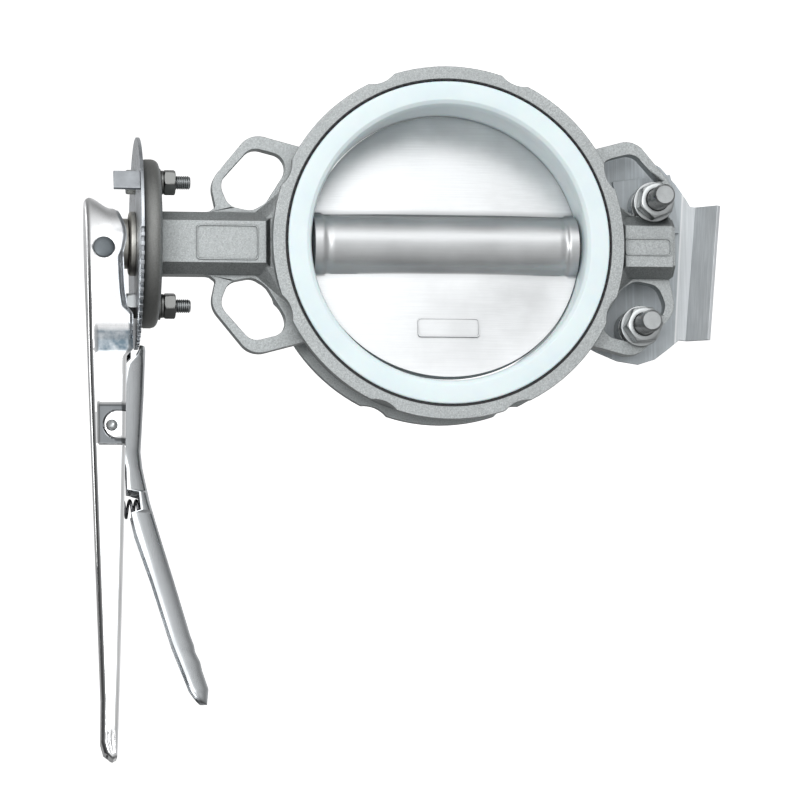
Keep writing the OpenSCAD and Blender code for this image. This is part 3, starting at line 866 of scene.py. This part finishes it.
def lever_shell():
    """The lever's outer skin: at each plan point the wall, the rounded shoulder and the top."""
    low, high = lever_outline()
    rows = []
    for i, (foot, shoulder) in enumerate(zip(low, high)):
        out = plan_normal(high, i)
        bottom, top = along(LEVER_LOW, foot[0]), lever_top(shoulder[0])
        bell = smooth_step(foot[0], 12, 18) * (1 - smooth_step(foot[0], 50, 57))
        curl, curl_height = 1.2 + 1.6 * bell, 3.0 + 2.0 * bell
        side = []
        for z in spread(bottom, top - SPINE_R, 40):
            share = smooth_step(z, 240.5, 257)
            inward = curl * (1 - smooth_step(z - bottom, 0, curl_height))
            if foot[1] > 3:
                inward += pressed(foot[0], z)
            plan = [f + (s - f) * share - o * inward for f, s, o in zip(foot, shoulder, out)]
            side.append((*plan, z))
        for a in spread(0, math.pi / 2, 8)[1:]:
            inset = SPINE_R * (1 - math.cos(a))
            plan = [s - o * inset for s, o in zip(shoulder, out)]
            side.append((*plan, top - SPINE_R + SPINE_R * math.sin(a)))
        run, wide, _ = side[-1]
        side += [(run, wide * (1 - k / 6), top) for k in range(1, 7)]
        near = [(run, max(wide, 0.0), z) for run, wide, z in side]
        rows.append(near + [(run, -wide, z) for run, wide, z in reversed(near[:-1])])
    return grid(rows)


def on_lever(shape):
    """Takes a shape from the lever's own coordinates to the frame's."""
    return moved(shape, LEVER_TURN)


def sheet_piece(name, skin, thickness, faces_up, body, material, node):
    """A pressed sheet: a skin in the lever's coordinates, thickened on its inside."""
    mesh = new_mesh(name, skin, closed=False)
    bm = bmesh.new()
    bm.from_mesh(mesh)
    bmesh.ops.recalc_face_normals(bm, faces=bm.faces)
    up = sum(face.normal.z * face.calc_area() for face in bm.faces)
    if (up > 0) != faces_up:
        bmesh.ops.reverse_faces(bm, faces=bm.faces)
    bm.to_mesh(mesh)
    bm.free()
    obj = link(name, mesh)
    step = obj.modifiers.new("sheet", "SOLIDIFY")
    step.thickness, step.offset = thickness * MM, -1
    settle(obj)
    obj.data.transform(LEVER_TURN)
    finish_piece(obj, body, material, [node], 32)


def lever_pins():
    """The rivet through the lever's head, and the pin that the latch turns on."""
    dome = [(0, 0), (7.3, 0), (7.5, 0.5), (6.6, 1.0), (4, 1.35), (0, 1.5), (0, 0)]
    shank_r, shank_half, head_y = 2.4, 25, 24.4
    rivet = []
    for turn in (0, math.pi):
        head = moved(lathe(dome, 48), on_y(0, head_y, 0))
        rivet.append(moved(head, at(RIVET_RUN, 0, RIVET_Z) @ Matrix.Rotation(turn, 4, "Z")))
    shank = [(0, -shank_half), (shank_r, -shank_half), (shank_r, shank_half), (0, shank_half)]
    rivet.append(moved(lathe(shank, 32), on_y(RIVET_RUN, 0, RIVET_Z)))
    piece("rivet_heads", on_lever(merge(*rivet)), TURNING, RIVET, ["hub_rivet"])
    profile = [(0, -14), (2.8, -14), (3.9, -13.4), (4.2, -12.8), (3.0, -12.8)]
    profile += [(3.0, 12.8), (4.2, 12.8), (3.9, 13.4), (2.8, 14), (1.6, 13.2), (0, 13.0)]
    pin = moved(lathe(profile, 48), on_y(PIVOT_RUN, 0, PIVOT_Z))
    piece("latch_pin", on_lever(pin), TURNING, BRIGHT, ["trigger_pin"])


TRIGGER_NOSE, TRIGGER_TIP, TIP_R, EAR_R = 76.8, 334.0, 8, 9.15
WEB_LEAN = math.radians(24)
TRIGGER_LOW = [
    (TRIGGER_NOSE, 217.5), (80, 217.1), (110, 218.6), (154, 221.4), (166, 220.2), (190, 215.4),
    (220, 207.0), (251, 198.0), (286, 188.2), (292, 186.0), (297, 185.2), (304, 181.8),
    (310, 180.6), (323, 176.4), (TRIGGER_TIP, 177.6),
]
TRIGGER_TOP = [
    (TRIGGER_NOSE, 221.5), (80, 222), (86.5, 225), (92, 230.6), (97, 232.2), (120, 236),
    (152, 236), (167.5, 232), (183, 231.6), (184.5, 223.4), (197.5, 222.2), (199.5, 229),
    (214, 225.8), (247, 214.8), (292.5, 201.2), (323, 189.6), (TRIGGER_TIP, 182),
]
TRIGGER_WIDE = [
    (TRIGGER_NOSE, 4.6), (80.5, 7.6), (86, 10.2), (148, 10.2), (205, 9.5), (260, 9),
    (TRIGGER_TIP, 8.6),
]
NOTCH_RUNS = [183.0, 184.4, 184.6, 197.4, 199.3, 199.6]
EAR_RUNS = [128.4, 146.6]


def trigger_runs():
    """Where the trigger's rows stand: evenly, and closer at its notch, ears and tip."""
    runs = spread(TRIGGER_NOSE, TRIGGER_TIP, 220) + NOTCH_RUNS + EAR_RUNS
    runs += [PIVOT_RUN + EAR_R * math.cos(a) for a in spread(0, math.pi, 22)]
    runs += [TRIGGER_TIP - TIP_R + TIP_R * math.sin(a) for a in spread(0, math.pi / 2, 10)]
    return sorted(set(round(run, 3) for run in runs))


def trigger_shell():
    """A U channel open towards the lever, with ears round the pivot and a rounded tip."""
    rows = []
    for run in trigger_runs():
        low, top, wide = (along(table, run) for table in (TRIGGER_LOW, TRIGGER_TOP, TRIGGER_WIDE))
        ear = EAR_R**2 - (run - PIVOT_RUN) ** 2
        if ear > 0:
            top = max(top, PIVOT_Z + math.sqrt(ear))
        near_tip = max(0.0, (run - TRIGGER_TIP + TIP_R) / (TIP_R + 0.02))
        wide *= math.sqrt(max(0.0, 1 - near_tip**2))
        web = max(0.3, min(13.0, 0.84 * (top - low)))
        side = [(wide, z) for z in spread(top, low + web, 14)]
        side = [(w - 1.4 * smooth_step(z, 234, 239), z) for w, z in side]
        for a in spread(WEB_LEAN, math.pi / 2, 12)[1:]:
            drop = (math.sin(a) - math.sin(WEB_LEAN)) / (1 - math.sin(WEB_LEAN))
            side.append((wide * math.cos(a) / math.cos(WEB_LEAN), low + web * (1 - drop)))
        rows.append([(run, w, z) for w, z in side] + [(run, -w, z) for w, z in reversed(side[:-1])])
    nose = [(TRIGGER_NOSE, 0.0, z) for _, _, z in rows[0]]
    return grid([nose] + rows)


SPRING_LO, SPRING_HI, SPRING_RUN = 220.2, 251.6, 195
SPRING_R, SPRING_WIRE, SPRING_TURNS = 6.1, 1.05, 7.5


def coil_spring():
    """Seven and a half turns between the latch's web and the lever, closer at both ends."""
    steps, sides = 200, 10
    skip = smooth_step(0, -0.2, 1.2)
    up = Vector((0, 0, 1))
    rows = []
    for t in spread(0, 1, steps):
        a = 2 * math.pi * SPRING_TURNS * t
        rise = (smooth_step(t, -0.2, 1.2) - skip) / (1 - 2 * skip)
        out = Vector((math.cos(a), math.sin(a), 0))
        foot = Vector((SPRING_RUN, 0, SPRING_LO + (SPRING_HI - SPRING_LO) * rise))
        row = []
        for k in range(sides):
            b = 2 * math.pi * k / sides
            row.append(tuple(foot + out * SPRING_R + (out * math.cos(b) + up * math.sin(b)) * SPRING_WIRE))
        rows.append(row)
    shape = on_lever(grid([cap(rows[0])] + rows + [cap(rows[-1])], False, True))
    obj = piece("latch_spring", shape, TURNING, WIRE, ["trigger_spring"], 60)
    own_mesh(obj)


# -------------------------------------------------------------------------------- CAD copies


def softened(name, node, body, material, width):
    """A piece with a CAD node's own shape and its edges broken."""
    obj = cad_copy(name, node)
    if width:
        bevel(obj, width)
    finish_piece(obj, body, material, [node])
    even_faces(obj)


casting()
liner_piece()
disc_piece()
flange_hardware()
foot_hardware()
sheet_piece("lever_sheet", lever_shell(), 2, True, TURNING, LEVER_SHEET, "lever")
lever_pins()
sheet_piece("trigger_sheet", trigger_shell(), 1.8, False, LATCH, LATCH_SHEET, "trigger")
coil_spring()
softened("backing_rubber", "backing_ring", VALVE, RUBBER, 0)
softened("stem_bar", "stem", TURNING, STEM, 0.3)
softened("stem_seals", "stem_orings", TURNING, RUBBER, 0)
softened("top_bush", "upper_bush", VALVE, LINER, 0.2)
softened("bottom_bush", "lower_bush", VALVE, LINER, 0.2)
softened("notched_plate", "notch_plate", VALVE, PLATE, 0.35)
softened("collar", "gland_collar", VALVE, COLLAR, 0.5)
softened("lever_socket", "lever_hub", TURNING, COLLAR, 0.5)
softened("foot_sheet", "support_foot", VALVE, GREY_SHEET, 0.3)
softened("square_plate_washer", "square_washer", VALVE, GREY_SHEET, 0.4)
softened("spacer_tubes", "foot_spacers", VALVE, BRIGHT, 0.5)

# -------------------------------------------------------------------- camera, floor and light

AIM, DISTANCE = Vector((-111.3, 0.0, 32.9)), 2379.0
AZIMUTH, ELEVATION, ROLL = (math.radians(d) for d in (-5.167, 8.111, -89.73))
LENS, SENSOR = 148.53, 36.0
FLOOR_HALF, FLOOR_DROP = 30.0, 0.0005
FLOOR_TONE, FLOOR_PALE, FLOOR_GLOW = 0.9, 0.93, 0.9
WORLD_FRONT, WORLD_BACK, WORLD_SIDE, WORLD_LIFT, WORLD_BELOW = 0.86, 0.60, 0.18, 1.2, 0.22
LIGHT_AIM = (-0.05, 0, 0)


def camera():
    """Looks along the pipe from the front, turned so that the stem lies across the picture."""
    data = bpy.data.cameras.new("camera")
    data.lens, data.sensor_width = LENS, SENSOR
    data.clip_start, data.clip_end = 0.05, 100
    obj = link("camera", data)
    level = math.cos(ELEVATION)
    back = Vector((math.sin(AZIMUTH) * level, -math.cos(AZIMUTH) * level, math.sin(ELEVATION)))
    look = (-back).to_track_quat("-Z", "Y").to_matrix().to_4x4()
    spin = Matrix.Rotation(ROLL, 4, "Z")
    obj.matrix_world = Matrix.Translation((AIM + back * DISTANCE) * MM) @ look @ spin
    bpy.context.scene.camera = obj


def stage_floor():
    """A wide pale floor just under the foot, left out of reflections and bounced light."""
    corners = [(a * FLOOR_HALF, b * FLOOR_HALF) for a, b in ((-1, -1), (1, -1), (1, 1), (-1, 1))]
    mesh = bpy.data.meshes.new("floor")
    mesh.from_pydata([(x, y, cad_box[0].z - FLOOR_DROP) for x, y in corners], [], [(0, 1, 2, 3)])
    floor = link("floor", mesh)
    m = Nodes("pale_floor", (FLOOR_TONE,) * 3, 0.0, 0.9)
    cloud = m.ranged(m.noise(900, 2), 0.3, 0.7, 0, 1)
    m.join(m.mix(cloud, (FLOOR_TONE,) * 3, (FLOOR_PALE,) * 3), m.shader.inputs["Base Color"])
    m.shader.inputs["Emission Color"].default_value = (1, 1, 1, 1)
    m.shader.inputs["Emission Strength"].default_value = FLOOR_GLOW
    mesh.materials.append(m.material)
    floor.visible_glossy = False
    floor.visible_diffuse = False


def world():
    """Soft light from all round, by direction: what the bright metal mirrors."""
    scene = bpy.context.scene
    scene.world = bpy.data.worlds.new("studio")
    scene.world.use_nodes = True
    tree = scene.world.node_tree
    place = tree.nodes.new("ShaderNodeTexCoord")
    split = tree.nodes.new("ShaderNodeSeparateXYZ")
    tree.links.new(place.outputs["Generated"], split.inputs["Vector"])

    def calc(kind, a, b):
        """Arithmetic on two outputs or numbers."""
        return math_node(tree, kind, a, b)

    def step(value, lo, hi, to_lo=0.0, to_hi=1.0):
        """A value moved softly from one range to another and kept inside it."""
        return range_node(tree, value, (lo, hi), (to_lo, to_hi), "SMOOTHSTEP")

    x, y, z = (split.outputs[k] for k in "XYZ")
    front = calc("MULTIPLY", y, -1.0)
    # brightest in front, with a fainter and low glow behind
    behind = step(front, -0.1, -0.9, 0.0, WORLD_BACK)
    behind = calc("MULTIPLY", behind, step(z, -0.25, 0.02, 1.0, 0.15))
    glow = calc("ADD", step(front, 0.0, 1.0, 0.0, WORLD_FRONT), behind)
    glow = calc("ADD", glow, WORLD_SIDE)
    # stronger towards +x and above the horizon, dim overhead, with a little from below
    glow = calc("MULTIPLY", glow, step(x, -1.0, 1.0, 0.6, 1.4))
    glow = calc("MULTIPLY", glow, step(z, -0.4, 0.12, 0.62, 1.3))
    glow = calc("MULTIPLY", glow, step(z, 0.3, 0.8, 1.0, 0.25))
    glow = calc("ADD", glow, step(z, -0.2, -1.0, 0.0, WORLD_BELOW))
    # a bright band in front, part of the way towards +x and kept low
    high = calc("ADD", x, calc("MULTIPLY", z, 0.6))
    lift = calc("MULTIPLY", step(high, 0.16, 0.38), step(front, -0.25, 0.35))
    lift = calc("MULTIPLY", lift, step(x, 0.58, 0.9, 1.0, 0.12))
    lift = calc("MULTIPLY", lift, step(z, 0.2, 0.55, 1.0, 0.0))
    total = calc("ADD", glow, calc("MULTIPLY", lift, WORLD_LIFT))
    background = tree.nodes["Background"]
    background.inputs["Color"].default_value = (1.0, 1.0, 1.0, 1)
    tree.links.new(total, background.inputs["Strength"])


def soft_light(name, place, size, power):
    """A round area light at a place in metres, facing the valve."""
    data = bpy.data.lights.new(name, "AREA")
    data.shape, data.size, data.energy = "DISK", size, power
    obj = link(name, data)
    obj.location = place
    obj.rotation_mode = "QUATERNION"
    obj.rotation_quaternion = (Vector(LIGHT_AIM) - Vector(place)).to_track_quat("-Z", "Y")


camera()
stage_floor()
world()
soft_light("key", (0.1, -2.4, 1.3), 1.0, 15)
soft_light("back", (0.8, 2.0, 2.6), 1.6, 20)
bpy.context.scene.view_settings.view_transform = "Standard"
